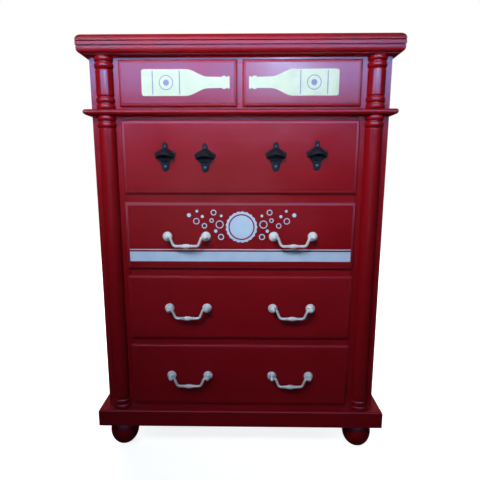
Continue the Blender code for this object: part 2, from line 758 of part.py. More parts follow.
def main():
    clear_scene()
    red = paint("red_paint", (0.33, 0.012, 0.035), 0.38)
    bare_wood = paint("bare_wood", (0.62, 0.43, 0.25), 0.75)
    hardboard = paint("hardboard", (0.32, 0.19, 0.10), 0.70)
    plywood = paint("plywood", (0.60, 0.45, 0.28), 0.80)
    white = paint("white_enamel", (0.78, 0.82, 0.86), 0.35)
    iron = paint("black_iron", (0.03, 0.035, 0.04), 0.45, 0.9)

    make_top(red)
    make_cornice(red)
    make_waist(red)
    make_panels(red, plywood)
    make_face_frame(red)
    make_columns(red)
    make_web_frames(red)
    make_plinth(red)
    make_feet(red)
    homes = {}
    for drawer in DRAWERS:
        homes[drawer] = make_drawer(drawer, red, bare_wood, hardboard)
    make_pulls(homes, white)
    make_openers(homes["second"], iron)
    bpy.context.view_layer.update()


main()
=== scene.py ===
"""The looks of a tall red-painted chest of drawers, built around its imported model.

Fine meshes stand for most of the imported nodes, and each takes its place from the node that it
stands for. The drawer boxes, their hardboard bottoms and the plywood back stay as packed and
get their wood here. Metres, +Z up, front towards -Y.
"""
from math import acos, asin, copysign, cos, degrees, pi, radians, sin, tau

import bmesh
import bpy
from mathutils import Matrix, Vector


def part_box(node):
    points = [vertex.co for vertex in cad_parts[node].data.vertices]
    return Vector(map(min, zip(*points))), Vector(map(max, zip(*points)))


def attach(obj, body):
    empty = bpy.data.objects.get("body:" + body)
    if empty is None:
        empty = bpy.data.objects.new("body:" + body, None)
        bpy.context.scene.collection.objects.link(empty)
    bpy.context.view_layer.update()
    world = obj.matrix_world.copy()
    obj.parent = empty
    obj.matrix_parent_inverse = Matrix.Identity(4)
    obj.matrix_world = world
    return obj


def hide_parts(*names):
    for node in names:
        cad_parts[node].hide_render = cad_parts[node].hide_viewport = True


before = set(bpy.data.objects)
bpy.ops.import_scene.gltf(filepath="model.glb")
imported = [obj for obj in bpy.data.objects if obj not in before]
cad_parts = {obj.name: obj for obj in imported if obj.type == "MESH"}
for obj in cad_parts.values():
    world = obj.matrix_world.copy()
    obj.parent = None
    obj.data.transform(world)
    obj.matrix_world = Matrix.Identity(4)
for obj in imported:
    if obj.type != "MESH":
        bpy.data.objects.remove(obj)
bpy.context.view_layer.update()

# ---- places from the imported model
CASE_LOW, CASE_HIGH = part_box("face_frame")
TOP_LOW, TOP_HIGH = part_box("top_board")
BACK_LOW, BACK_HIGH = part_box("back_panel")
FRONT = CASE_LOW.y  # y of the face frame's front
CASE_HALF = CASE_HIGH.x
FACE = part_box("second_drawer_front")[0].y  # y of the drawers' faces

DRAWERS = ("top_left", "top_right", "second", "third", "fourth", "fifth")
PULLED = DRAWERS[3:]  # those with pulls
LOW_ROWS = DRAWERS[4:]  # those whose paint has gone dull

# ---- sizes the model shares with its source
GAP = 0.0003  # clearance between pieces that touch
LIP = 0.008  # how far a drawer's front laps over its opening
CORE_CLEARANCE = 0.0025
CORE_BACK = 0.0105  # how far a front reaches into its opening
THUMBNAIL = 0.0085  # width of a front's moulded edge
THUMBNAIL_DROP = 0.0055
FRAME_THICK = 0.020
COLUMN_BEHIND = 0.005  # the columns' axes lie this far behind the face frame's front
RING_RADIUS = 0.0285
SHAFT_RADIUS = 0.0265
NECK_RADIUS = 0.0245
RING_HEIGHT = 0.0150
NECK_HEIGHT = 0.0035
FOOT_MIDDLE = 0.0505  # height of a foot's widest point
FOOT_BULGE = 0.0535  # half the height of the ball that a foot is cut from
FOOT_NECK = 0.029
OPENER_ABOVE = 0.0420  # from an opener's middle to its top
SCREW_SPREAD = 0.0288  # from an opener's middle to each of its screws
PLATE_THICK = 0.004
HEAD_RADIUS = 0.0070  # a pull's ball head
ROSETTE_RADIUS = 0.0145
POST_HALF = 0.0585  # half the distance between a pull's two posts
BAIL_DROP = 0.0265
TOP_BAND = 0.011  # height of the top board's lower band
TOP_ROUND_WIDE = 0.0200
TOP_ROUND_HIGH = 0.0190
WEB_THICK = 0.018  # the frames under the drawers
WEB_RAIL = 0.050
RUNNER_INNER = 0.290  # x where a runner ends towards the middle
GUIDE_INNER = 0.3375
GUIDE_HEIGHT = 0.016
MIDDLE_RUNNER = 0.050  # half the width of the runner between the small drawers
PLINTH_WALL = 0.022
PLINTH_LEDGE = 0.020  # thickness of the plinth's top, on which the case stands
PLINTH_LAP = 0.0205  # how far that top reaches in under the case
PLINTH_ROUND = 0.005
PLINTH_RAIL = 0.1195
BLOCK_INNER = 0.3475  # x where a foot's block ends towards the middle
BLOCK_DEEP = 0.100

STILE_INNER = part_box("third_drawer_box")[1].x + CORE_CLEARANCE
MUNTIN_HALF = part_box("top_right_drawer_box")[0].x - CORE_CLEARANCE

# ---- fine shapes
EASED = 0.0006  # radius that sandpaper leaves on a board's edge
MITRE_GAP = 0.00008  # hairline at each mitre, to either side
SEAM = 0.00006  # hairline between glued boards, to either side
SHARP = 32.0  # edges sharper than this many degrees stay crisp
TURNED_SHARP = 40.0
TOP_JOINTS = (0.27, 0.52, 0.76)  # the top's glue lines, as parts of its depth
TOP_JOINT_HALF = 0.0005
TOP_JOINT_DEEP = 0.0006
BAND_GAP = 0.0004  # half the line between the top's two bands
BAND_ROUND = 0.0022
SIDE_JOINTS = (0.0, 0.29, 0.51, 0.77, 1.0)  # edges of a side's boards, as parts of its depth

# Mouldings: a reach of 1.0 is the moulding's whole overhang; heights are from its lower edge.
CORNICE_FOOT = ((0.0, 0.0), (0.505, 0.0), (0.52, 0.0003), (0.575, 0.0016))
CORNICE_FILLET = 0.0032
CORNICE_QUIRK = 0.0022
CORNICE_QUIRK_REACH = 0.90
CORNICE_FLAT = 0.58
CORNICE_SWELL = 0.38
CORNICE_FULLNESS = 0.62  # the exponent of its face: lower is squarer
CORNICE_TURN = radians(108)
WAIST_FLAT = 0.62

FRONT_EASED = 0.0004  # corner of a drawer front's lip
FRONT_QUIRK = 0.0011  # depth of the step where its moulded edge ends
PIN_INSET = 0.009  # from the back's edges to the pins that hold it
PIN_HEAD = ((0.0026, -0.0004), (0.0026, 0.0001), (0.0022, 0.0006), (0.0011, 0.0010), (0.0001, 0.0011))

# A pull's post: (radius, distance from the drawer's face). Its bail: (x, radius) on the grip, and
# then (x, z, radius) and (x, radius) from the post.
POST_STEM = ((0.0088, 0.0062), (0.0080, 0.0071), (0.0064, 0.0080), (0.0050, 0.0084),
             (0.0042, 0.0092), (0.0038, 0.0110), (0.0039, 0.0130), (0.0045, 0.0148))
BAIL_WIRE = 0.0039
BAIL_PIN = 0.0022
BAIL_BORE = 0.0027
BAIL_GRIP = ((0.0, 0.0067), (0.0045, 0.0064), (0.0095, 0.0052), (0.0135, 0.0039), (0.0147, 0.0037),
             (0.0160, 0.0050), (0.0175, 0.0050), (0.0189, 0.0038), (0.0225, BAIL_WIRE))
BAIL_ARM = ((-0.0142, -0.0074, BAIL_WIRE), (-0.0128, -0.0034, BAIL_WIRE),
            (-0.0111, -0.0008, BAIL_WIRE), (-0.0090, 0.0, 0.0038))
BAIL_END = ((-0.0083, 0.0034), (-0.0081, BAIL_PIN), (0.0048, BAIL_PIN), (0.0052, 0.0016))

# An opener: (x, z) on its right wing, and (half width, reach, height, droop) down its hood.
OPENER_WING = ((0.0076, 0.0270), (0.0086, 0.0242), (0.0120, 0.0215), (0.0190, 0.0180),
               (0.0262, 0.0143), (0.0302, 0.0116), (0.0321, 0.0086), (0.0314, 0.0050),
               (0.0275, 0.0005), (0.0220, -0.0055), (0.0170, -0.0115), (0.0135, -0.0170),
               (0.0117, -0.0225), (0.0110, -0.0280))
HOOD_ROWS = ((0.0080, 0.0045, 0.0250, 0.0030), (0.0130, 0.0090, 0.0236, 0.0052),
             (0.0190, 0.0155, 0.0205, 0.0072), (0.0245, 0.0210, 0.0155, 0.0086),
             (0.0280, 0.0243, 0.0100, 0.0092), (0.0292, 0.0255, 0.0050, 0.0095))
HOOD_WALL = 0.0034
TOOTH = ((-0.0062, -0.0115, -0.0125), (0.0062, -0.0015, -0.0082))
SCREW_SLOT = ((-0.0023, -0.0040, -0.0005), (0.0023, -0.0013, 0.0005))
SCREW_TURN = 0.35
CAST_VOXEL = 0.00085

# ---- painted decoration: bottles along their own length, the rest from the drawer's lower left
BOTTLES = (("top_left", -0.280, -0.029), ("top_right", 0.2805, 0.026))  # x of base and mouth
BOTTLE_HALF = 0.036
THROAT_HALF = 0.0155
MOUTH_HALF = 0.0175
LABEL_BANDS = (0.030, 0.107)
LABEL_BAND = 0.003
LABEL_HALF = 0.0325
LABEL_MIDDLE = 0.070
LABEL_RING = (0.0205, 0.0180)
LABEL_DOT = 0.0085
STRIPES = ((0.0250, 0.0550), (0.0600, 0.0630))
EMBLEM = (0.005, 0.1310)
CROWN_RADIUS = 0.0480
CROWN_RIM = 0.0085
CROWN_LINE = 0.0040  # the red line inside the rim
HOLLOW_BUBBLE = 0.006  # bubbles wider than this are rings
BUBBLE_RIM = 0.0024
BUBBLES = ((0.062, -0.030, 0.0090), (0.078, -0.012, 0.0050), (0.066, 0.008, 0.0120),
           (0.090, 0.020, 0.0065), (0.112, 0.004, 0.0080), (0.084, 0.044, 0.0085),
           (0.118, 0.032, 0.0045), (0.136, 0.018, 0.0095), (0.061, 0.034, 0.0040),
           (0.134, 0.048, 0.0040), (0.158, 0.036, 0.0060))

# ---- how rough the red paint is, from its smoothest patches to its roughest
SHINE = (0.175, 0.235)
DULL_SHINE = (0.34, 0.42)

# ---- studio
SENSOR = 36.0
LENS = 29.2125
CAMERA_X = 0.0180
CAMERA_DISTANCE = 1.1732
CAMERA_HEIGHT = 0.9177
CAMERA_YAW = -0.864
CAMERA_PITCH = 9.80
FLOOR_RADIUS = 14.0
DOME_LOW = (0.010, 0.010, 0.011)
DOME_HIGH = (0.07, 0.10, 0.115)
DOME_RISE = (0.05, 0.90)  # where the dome starts to brighten, and where it is brightest
SIDE_WHITE = (0.97, 0.99, 1.0)
CHEST = (0.0, 0.0, 0.65)

# Each softbox: place, target, size, power, colour, spread in degrees, and what it does: light
# surfaces, be seen in reflections, or both.
SOFTBOXES = {
    "window": ((0.0, -3.2, 2.03), (0.0, FRONT, 1.45), (5.6, 0.60), 126.0, (0.15, 0.42, 0.97), 180,
               "reflections"),
    "pane": ((0.42, -3.2, 2.02), (0.1, FRONT, 1.20), (0.55, 0.10), 10.0, (0.42, 0.70, 1.0), 180,
             "both"),
    "sky": ((0.0, -2.9, 2.95), (0.0, FRONT, 1.25), (5.0, 1.2), 34.0, (0.38, 0.48, 1.0), 180,
            "reflections"),
    "key": ((-0.75, -1.9, 2.45), (-0.05, FRONT, 1.18), (0.9, 0.7), 6.2, (0.86, 0.92, 1.0), 46,
            "surfaces"),
    "fill": ((-0.2, -2.6, 0.55), (0.0, FRONT, 1.36), (0.9, 0.4), 1.4, (1.0, 1.0, 1.0), 32,
             "surfaces"),
    "left_side": ((-1.9, 2.2, 1.7), CHEST, (1.6, 1.6), 44.0, SIDE_WHITE, 180, "surfaces"),
    "right_side": ((1.9, 2.2, 1.7), CHEST, (1.6, 1.6), 44.0, SIDE_WHITE, 180, "surfaces"),
    "rear": ((0.0, 3.0, 2.3), CHEST, (2.4, 1.6), 40.0, SIDE_WHITE, 180, "surfaces"),
}


# ---- material nodes


class Nodes:
    """Short calls that add nodes to a node tree."""

    def __init__(self, tree):
        self.tree = tree

    def put(self, value, socket):
        if isinstance(value, bpy.types.NodeSocket):
            self.tree.links.new(value, socket)
        else:
            socket.default_value = value

    def node(self, kind, **inputs):
        made = self.tree.nodes.new("ShaderNode" + kind)
        for name, value in inputs.items():
            self.put(value, made.inputs[name.replace("_", " ")])
        return made

    def remap(self, value, low, high, to_low=0.0, to_high=1.0):
        return self.node("MapRange", Value=value, From_Min=low, From_Max=high, To_Min=to_low,
                         To_Max=to_high).outputs["Result"]

    def blend(self, factor, first, second):
        mix = self.node("Mix", Factor=factor)
        mix.data_type = "RGBA"
        colours = [socket for socket in mix.inputs if socket.type == "RGBA"]
        for socket, value in zip(colours, (first, second)):
            self.put((*value, 1.0) if isinstance(value, tuple) else value, socket)
        return [socket for socket in mix.outputs if socket.type == "RGBA"][0]

    def separate(self, vector):
        return self.node("SeparateXYZ", Vector=vector).outputs[:]


class Finish(Nodes):
    """A material. Positions are in the object's own metres."""

    def __init__(self, name):
        self.material = bpy.data.materials.new(name)
        self.material.use_nodes = True
        super().__init__(self.material.node_tree)
        self.shader = self.tree.nodes["Principled BSDF"]
        self.place = self.node("TexCoord").outputs["Object"]

    def made(self, colour, rough, normal=None, gloss=0.5, **others):
        """The material, once what its surface is like is known."""
        others.update(Base_Color=colour, Roughness=rough, Specular_IOR_Level=gloss)
        if normal:
            others["Normal"] = normal
        for name, value in others.items():
            self.put(value, self.shader.inputs[name.replace("_", " ")])
        return self.material

    def stretched(self, scale, vector=None):
        return self.node("Mapping", Vector=vector or self.place, Scale=scale).outputs["Vector"]

    def noise(self, vector=None, scale=1.0, detail=2.0, rough=0.5, distortion=0.0):
        return self.node("TexNoise", Vector=vector or self.place, Scale=scale, Detail=detail,
                         Roughness=rough, Distortion=distortion).outputs["Fac"]

    def cells(self, vector):
        return self.node("TexVoronoi", Vector=vector, Scale=1.0).outputs["Distance"]

    def calc(self, operation, first, second=0.0):
        node = self.node("Math")
        node.operation = operation
        self.put(first, node.inputs[0])
        self.put(second, node.inputs[1])
        return node.outputs["Value"]

    def ramp(self, factor, *stops):
        node = self.node("ValToRGB", Fac=factor)
        points = node.color_ramp.elements
        while len(points) < len(stops):
            points.new(0.5)
        for point, (where, colour) in zip(points, stops):
            point.position = where
            point.color = (*colour, 1.0)
        return node.outputs["Color"]

    def bump(self, height, distance, strength, under=None):
        node = self.node("Bump", Distance=distance, Strength=strength, Height=height)
        if under is not None:
            self.put(under, node.inputs["Normal"])
        return node.outputs["Normal"]

    def edge_mask(self, radius):
        """1 along convex and concave edges, falling to 0 within about `radius`."""
        soft = self.node("Bevel", Radius=radius)
        soft.samples = 4
        dot = self.node("VectorMath")
        dot.operation = "DOT_PRODUCT"
        self.put(soft.outputs["Normal"], dot.inputs[0])
        self.put(self.node("NewGeometry").outputs["Normal"], dot.inputs[1])
        return self.remap(dot.outputs["Value"], 0.97, 0.80)


def along_axis(axis, along, across):
    """A mapping scale that is `along` on one axis and `across` on the other two."""
    return tuple(along if name == axis else across for name in "XYZ")


def red_paint(name, grain, shine=SHINE, relief=1.0, gloss=0.58):
    """Brushed semi-gloss red. Strokes run along the grain; edges are a little lighter, partly rubbed
    thin and partly a painted highlight.
    """
    f = Finish(name)
    fine = f.noise(f.stretched(along_axis(grain, 5, 420)), detail=1.5)
    broad = f.noise(f.stretched(along_axis(grain, 2.6, 80)))
    patch = f.noise(scale=11, detail=3, rough=0.6)
    sag = f.noise(scale=4.5, detail=1.5)
    tone = f.calc("ADD", f.calc("MULTIPLY", broad, 0.40), f.calc("MULTIPLY", patch, 0.60))
    colour = f.ramp(tone, (0.32, (0.225, 0.0028, 0.0060)), (0.52, (0.250, 0.0032, 0.0070)),
                    (0.74, (0.275, 0.0038, 0.0084)))
    # Lighter colour along convex and concave edges: partly paint rubbed thin, partly a painted
    # highlight.
    thin = f.calc("MULTIPLY", f.edge_mask(0.0012), f.remap(patch, 0.42, 0.62, 0.05, 0.40))
    colour = f.blend(thin, colour, (0.27, 0.008, 0.014))
    rough = f.calc("ADD", f.remap(patch, 0.30, 0.70, *shine), f.remap(fine, 0.25, 0.75, 0.0, 0.015))
    normal = f.bump(sag, 0.0040 * relief, 0.30)
    normal = f.bump(broad, 0.00020 * relief, 0.25, normal)
    normal = f.bump(fine, 0.00003 * relief, 0.25, normal)
    return f.made(colour, rough, normal, gloss)


def bare_wood(name, boxed=False):
    """Unfinished pine with its grain along Y, or level round a box's four boards."""
    f = Finish(name)
    if boxed:
        x, y, z = f.separate(f.place)
        along, turned = f.calc("ADD", x, y), f.calc("MULTIPLY", f.calc("SUBTRACT", x, y), 0.1)
        board = f.node("CombineXYZ", X=along, Y=z, Z=turned).outputs["Vector"]
        scales = ((1.6, 42, 8), (22, 1300, 300), (3.0, 8.5, 3.0))
    else:
        board = f.place
        scales = ((42, 1.6, 42), (1300, 22, 1300), (8.5, 3.0, 8.5))
    lines, fibres, knots = [f.stretched(scale, board) for scale in scales]
    rings = f.noise(lines, detail=3, rough=0.55, distortion=0.8)
    fibre = f.noise(fibres)
    colour = f.ramp(rings, (0.30, (0.66, 0.45, 0.245)), (0.50, (0.60, 0.385, 0.195)),
                    (0.58, (0.47, 0.270, 0.120)), (0.72, (0.62, 0.405, 0.21)))
    colour = f.blend(f.remap(fibre, 0.35, 0.75, 0.0, 0.30), colour, (0.42, 0.24, 0.11))
    colour = f.blend(f.remap(f.cells(knots), 0.055, 0.15, 1.0, 0.0), colour, (0.20, 0.085, 0.035))
    normal = f.bump(f.calc("ADD", fibre, f.calc("MULTIPLY", rings, 0.6)), 0.00016, 0.7)
    return f.made(colour, f.remap(fibre, 0.3, 0.7, 0.62, 0.80), normal, 0.30)


def plywood(name):
    """The back's veneer: broad rotary-cut figure with the grain upright."""
    f = Finish(name)
    figure = f.noise(f.stretched((11, 11, 0.9)), detail=4, rough=0.6, distortion=1.6)
    fibre = f.noise(f.stretched((1100, 1100, 26)))
    colour = f.ramp(figure, (0.30, (0.60, 0.41, 0.225)), (0.48, (0.53, 0.335, 0.165)),
                    (0.56, (0.42, 0.245, 0.115)), (0.66, (0.57, 0.38, 0.20)))
    stain = f.remap(f.noise(scale=4.5, detail=3), 0.50, 0.72, 0.0, 0.35)
    colour = f.blend(stain, colour, (0.33, 0.20, 0.105))
    colour = f.blend(f.remap(fibre, 0.4, 0.75, 0.0, 0.35), colour, (0.36, 0.205, 0.095))
    return f.made(colour, f.remap(fibre, 0.3, 0.7, 0.66, 0.84), f.bump(fibre, 0.00018, 0.8), 0.28)


def hardboard(name):
    """Pressed brown fibre with a smooth, faintly mottled face."""
    f = Finish(name)
    fibre = f.noise(f.stretched((700, 240, 700)), detail=3, distortion=1.2)
    mottle = f.noise(scale=22, detail=4, rough=0.65)
    colour = f.ramp(mottle, (0.32, (0.23, 0.122, 0.060)), (0.52, (0.30, 0.168, 0.086)),
                    (0.72, (0.36, 0.210, 0.112)))
    colour = f.blend(f.remap(fibre, 0.4, 0.7, 0.0, 0.5), colour, (0.17, 0.085, 0.042))
    return f.made(colour, f.remap(fibre, 0.3, 0.7, 0.50, 0.66), f.bump(fibre, 0.00010, 0.6), 0.35)


def white_enamel(name):
    """Cold white enamel on the pulls, slightly uneven, with greyer rubbed edges."""
    f = Finish(name)
    peel = f.noise(scale=420)
    cloud = f.noise(scale=60)
    colour = f.ramp(cloud, (0.30, (0.60, 0.63, 0.66)), (0.70, (0.71, 0.74, 0.77)))
    rub = f.calc("MULTIPLY", f.edge_mask(0.0008), f.remap(cloud, 0.45, 0.60, 0.0, 0.45))
    colour = f.blend(rub, colour, (0.30, 0.34, 0.40))
    return f.made(colour, f.remap(peel, 0.3, 0.7, 0.24, 0.36), f.bump(peel, 0.00012, 0.5))


def black_iron(name):
    """Sand-cast iron under thin black paint: grainy, with bare metal on its highest edges."""
    f = Finish(name)
    sand = f.noise(scale=900, detail=3, rough=0.6)
    lump = f.noise(scale=150)
    colour = f.ramp(lump, (0.30, (0.006, 0.006, 0.008)), (0.70, (0.014, 0.014, 0.018)))
    bare = f.calc("MULTIPLY", f.edge_mask(0.0014), f.remap(lump, 0.42, 0.62, 0.0, 0.22))
    colour = f.blend(bare, colour, (0.07, 0.08, 0.09))
    normal = f.bump(sand, 0.00022, 0.8, f.bump(lump, 0.0007, 0.5))
    return f.made(colour, f.remap(sand, 0.3, 0.7, 0.42, 0.60), normal, 0.22,
                  Metallic=f.remap(bare, 0.1, 0.5, 0.0, 0.6))


def screw_steel(name):
    """Zinc-plated steel with fine scratches."""
    f = Finish(name)
    scratch = f.noise(f.stretched((2600, 300, 900)))
    colour = f.ramp(f.noise(scale=260), (0.30, (0.085, 0.105, 0.125)), (0.70, (0.17, 0.20, 0.23)))
    return f.made(colour, f.remap(scratch, 0.3, 0.7, 0.36, 0.52), f.bump(scratch, 0.00006, 0.6),
                  Metallic=0.85)


def stencil_paint(name, dark, light):
    """Pale paint dabbed through a stencil: a little thin in places, with a dabbed surface."""
    f = Finish(name)
    dab = f.noise(scale=330, detail=3, rough=0.6)
    colour = f.ramp(f.noise(scale=30, detail=3), (0.30, dark), (0.68, light))
    thin = f.remap(f.noise(scale=120, detail=4, rough=0.7), 0.62, 0.80, 0.0, 0.30)
    colour = f.blend(thin, colour, tuple(0.55 * value for value in dark))
    return f.made(colour, f.remap(dab, 0.3, 0.7, 0.40, 0.56), f.bump(dab, 0.00012, 0.6))


def pale_floor(name):
    """A plain matt white floor that glows a little, so that its shadows stay soft. Its glow is weaker
    near the middle, a painted shade round the chest.
    """
    f = Finish(name)
    colour = f.ramp(f.noise(scale=1.5), (0.3, (0.80, 0.80, 0.80)), (0.7, (0.83, 0.83, 0.83)))
    x, y, _ = f.separate(f.place)
    away = f.calc("SQRT", f.calc("ADD", f.calc("MULTIPLY", x, x), f.calc("MULTIPLY", y, y)))
    # Glow rises with distance from the middle: painted shade on the floor round the chest.
    return f.made(colour, 0.9, Emission_Color=(1.0, 1.0, 1.0, 1.0),
                  Emission_Strength=f.remap(away, 0.5, 2.2, 0.84, 1.02))


# ---- mesh tools


def centre(node):
    """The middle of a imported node's box."""
    low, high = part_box(node)
    return (low + high) / 2


def link(name, data):
    """Adds an object to the scene."""
    made = bpy.data.objects.new(name, data)
    bpy.context.scene.collection.objects.link(made)
    return made


def mesh_from(bm, sharp=SHARP):
    """Turns a bmesh into a mesh that is smooth but for edges sharper than `sharp` degrees."""
    bmesh.ops.recalc_face_normals(bm, faces=bm.faces)
    mesh = bpy.data.meshes.new("mesh")
    bm.to_mesh(mesh)
    bm.free()
    mesh.shade_smooth()
    mesh.set_sharp_from_angle(angle=radians(sharp))
    return mesh


def add_piece(name, mesh, material, body, stands_for=(), at=(0.0, 0.0, 0.0)):
    """Adds one visible piece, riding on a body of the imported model."""
    piece = link(name, mesh)
    piece.location = at
    if not mesh.materials:
        mesh.materials.append(material)
    even = piece.modifiers.new("even_normals", "WEIGHTED_NORMAL")
    even.keep_sharp = True
    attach(piece, body)
    if stands_for:
        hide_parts(*stands_for)


def add_red(name, mesh, paint, node, at=(0.0, 0.0, 0.0)):
    """Adds a painted piece of the case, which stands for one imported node."""
    add_piece(name, mesh, paint, "case", [node], at)


def add_loft(bm, rings, closed=False):
    """Adds a skin through rings of equally many points, capped at both ends unless closed."""
    loops = [[bm.verts.new(point) for point in ring] for ring in rings]
    count = len(loops[0])
    around = loops + loops[:1] if closed else loops
    for lower, upper in zip(around, around[1:]):
        for i in range(count):
            j = (i + 1) % count
            bm.faces.new((lower[i], lower[j], upper[j], upper[i]))
    if not closed:
        bm.faces.new(loops[0])
        bm.faces.new(loops[-1])


def repaint(node, material):
    """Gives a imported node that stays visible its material."""
    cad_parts[node].material_slots[0].material = material


def loft_mesh(rings, sharp=SHARP):
    bm = bmesh.new()
    add_loft(bm, rings)
    return mesh_from(bm, sharp)


def boards_mesh(boards, radius=EASED, segments=2):
    """Boards with eased edges, each (low corner, high corner)."""
    bm = bmesh.new()
    for low, high in boards:
        verts = bmesh.ops.create_cube(bm, size=1.0)["verts"]
        for vert in verts:
            vert.co = [low[i] + (vert.co[i] + 0.5) * (high[i] - low[i]) for i in range(3)]
        edges = list({edge for vert in verts for edge in vert.link_edges})
        bmesh.ops.bevel(bm, geom=edges, offset=radius, offset_type="OFFSET", segments=segments,
                        profile=0.5, affect="EDGES", clamp_overlap=True)
    return mesh_from(bm)


def runs_mesh(profile, corners):
    """Mitred lengths of moulding from corner to corner, each (x, y, out_x, out_y)."""
    bm = bmesh.new()
    for near, far in zip(corners, corners[1:]):
        along = Vector((far[0] - near[0], far[1] - near[1], 0.0)).normalized() * MITRE_GAP
        rings = []
        for (x, y, out_x, out_y), shift in ((near, along), (far, -along)):
            rings.append([(x + d * out_x + shift.x, y + d * out_y + shift.y, z) for d, z in profile])
        add_loft(bm, rings)
    return mesh_from(bm)


def arc(centre, radius, start, stop, steps, high=None):
    """Points from `start` to `stop` degrees, both kept, on a circle or on an ellipse `high` high."""
    points = []
    for i in range(steps + 1):
        turn = radians(start + (stop - start) * i / steps)
        points.append((centre[0] + radius * cos(turn),
                       centre[1] + (high or radius) * sin(turn)))
    return points


def mirrored(inner, outer):
    """The stretch of x between two distances from the middle, on the left and on the right."""
    return [(-outer, -inner), (inner, outer)]


def turned_rings(profile, segments, start=0.0, sweep=tau):
    """A (radius, height) profile turned about Z, whole or through part of a turn."""
    rings = []
    steps = segments if sweep == tau else segments + 1
    for radius, z in profile:
        turns = [start + sweep * i / segments for i in range(steps)]
        rings.append([(radius * cos(turn), radius * sin(turn), z) for turn in turns])
    return rings


def facing_front(rings):
    """The same rings with their height turned to point towards -Y."""
    return [[(x, -z, y) for x, y, z in ring] for ring in rings]


def carved(mesh, tools, operation="DIFFERENCE", sharp=SHARP):
    """The mesh after an exact Boolean with each tool mesh."""
    work = link("work", mesh)
    helpers = []
    for tool in tools:
        helpers.append(link("tool", tool))
        step = work.modifiers.new("step", "BOOLEAN")
        step.operation = operation
        step.solver = "EXACT"
        step.object = helpers[-1]
    return settled(work, helpers, sharp)


def settled(work, helpers, sharp):
    """The evaluated mesh of a work object, which is then removed with its helpers."""
    bpy.context.view_layer.update()
    graph = bpy.context.evaluated_depsgraph_get()
    made = bpy.data.meshes.new_from_object(work.evaluated_get(graph))
    for thing in [work, *helpers]:
        bpy.data.objects.remove(thing, do_unlink=True)
    made.shade_smooth()
    made.set_sharp_from_angle(angle=radians(sharp))
    return made


# ---- the case


def edge_profile(low, high, wide, tall, low_round, steps):
    """(inset, height) of a slab's edge: a small lower round and an elliptical upper one."""
    return (arc((low_round, low + low_round), low_round, 270, 180, 2)
            + arc((wide, high - tall), wide, 180, 90, steps, tall))


def top_board(profile):
    """A board whose moulded edge runs along its left side, front and right side."""
    rings = []
    for inset, z in profile:
        x0, x1 = TOP_LOW.x + inset, TOP_HIGH.x - inset
        y0, y1 = TOP_LOW.y + inset, TOP_HIGH.y
        rings.append([(x0, y0, z), (x1, y0, z), (x1, y1, z), (x0, y1, z)])
    return loft_mesh(rings)


def joint_wedge(y):
    """A thin wedge across the top, which leaves a V line between two glued boards."""
    above, below = TOP_HIGH.z + 0.0002, TOP_HIGH.z - TOP_JOINT_DEEP
    shape = ((y - TOP_JOINT_HALF, above), (y + TOP_JOINT_HALF, above), (y, below))
    ends = (TOP_LOW.x - 0.01, TOP_HIGH.x + 0.01)
    return loft_mesh([[(x, *point) for point in shape] for x in ends])


def make_top(red):
    """Two banded layers; the upper one is glued from boards and has a broad rounded edge."""
    low, middle, high = TOP_LOW.z, TOP_LOW.z + TOP_BAND, TOP_HIGH.z
    lower = edge_profile(low, middle - BAND_GAP, BAND_ROUND, BAND_ROUND, 0.0010, 4)
    upper = edge_profile(middle + BAND_GAP, high, TOP_ROUND_WIDE, TOP_ROUND_HIGH, 0.0012, 14)
    add_red("top_lower_band", top_board(lower), red, "top_board")
    joints = [joint_wedge(TOP_LOW.y + part * (TOP_HIGH.y - TOP_LOW.y)) for part in TOP_JOINTS]
    add_red("top_upper_band", carved(top_board(upper), joints), red, "top_board")


def three_sides(moulding_low, moulding_high):
    """Corners on the case's sides and front, with the way out to the moulding's full overhang."""
    x, y = CASE_HALF + GAP, FRONT - GAP
    side, ahead = moulding_high.x - x, y - moulding_low.y
    return [(-x, BACK_HIGH.y, -side, 0.0), (-x, y, -side, -ahead),
            (x, y, side, -ahead), (x, BACK_HIGH.y, side, 0.0)]


def make_cornice(red):
    """The ovolo under the top, with a fillet below it and a quirk above."""
    low, high = [corner.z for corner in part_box("cornice_moulding")]
    fillet, quirk = low + CORNICE_FILLET, high - CORNICE_QUIRK
    profile = [(reach, low + z) for reach, z in CORNICE_FOOT]
    rise = (quirk - fillet) / (1 - cos(CORNICE_TURN))
    for i in range(17):
        turn = CORNICE_TURN * i / 16
        reach = CORNICE_FLAT + CORNICE_SWELL * sin(turn) ** CORNICE_FULLNESS
        profile.append((reach, fillet + rise * (1 - cos(turn))))
    profile += [(CORNICE_QUIRK_REACH, high - 0.0014), (CORNICE_QUIRK_REACH, high), (0.0, high)]
    mesh = runs_mesh(profile, three_sides(TOP_LOW, TOP_HIGH))
    add_red("cornice_ovolo", mesh, red, "cornice_moulding")


def make_waist(red):
    """The half-round moulding between the small drawers and the wide ones."""
    low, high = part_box("waist_moulding")
    middle = (WAIST_FLAT, (low.z + high.z) / 2)
    round_edge = arc(middle, 1 - WAIST_FLAT, -90, 90, 18, (high.z - low.z) / 2)
    mesh = runs_mesh([(0.0, low.z), *round_edge, (0.0, high.z)], three_sides(low, high))
    add_red("waist_half_round", mesh, red, "waist_moulding")


def make_sides(red_z):
    """Each side is glued from four upright boards of unlike widths."""
    for side in ("left", "right"):
        low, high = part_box("side_panel_" + side)
        cuts = [low.y + part * (high.y - low.y) for part in SIDE_JOINTS]
        boards = []
        for near, far in zip(cuts, cuts[1:]):
            boards.append(((low.x, near + SEAM, low.z), (high.x, far - SEAM, high.z)))
        add_red("side_boards_" + side, boards_mesh(boards), red_z, "side_panel_" + side)


def opening(row):
    """Lowest and highest edge of a row's opening."""
    low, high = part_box(row + "_drawer_front")
    return low.z + LIP, high.z - LIP


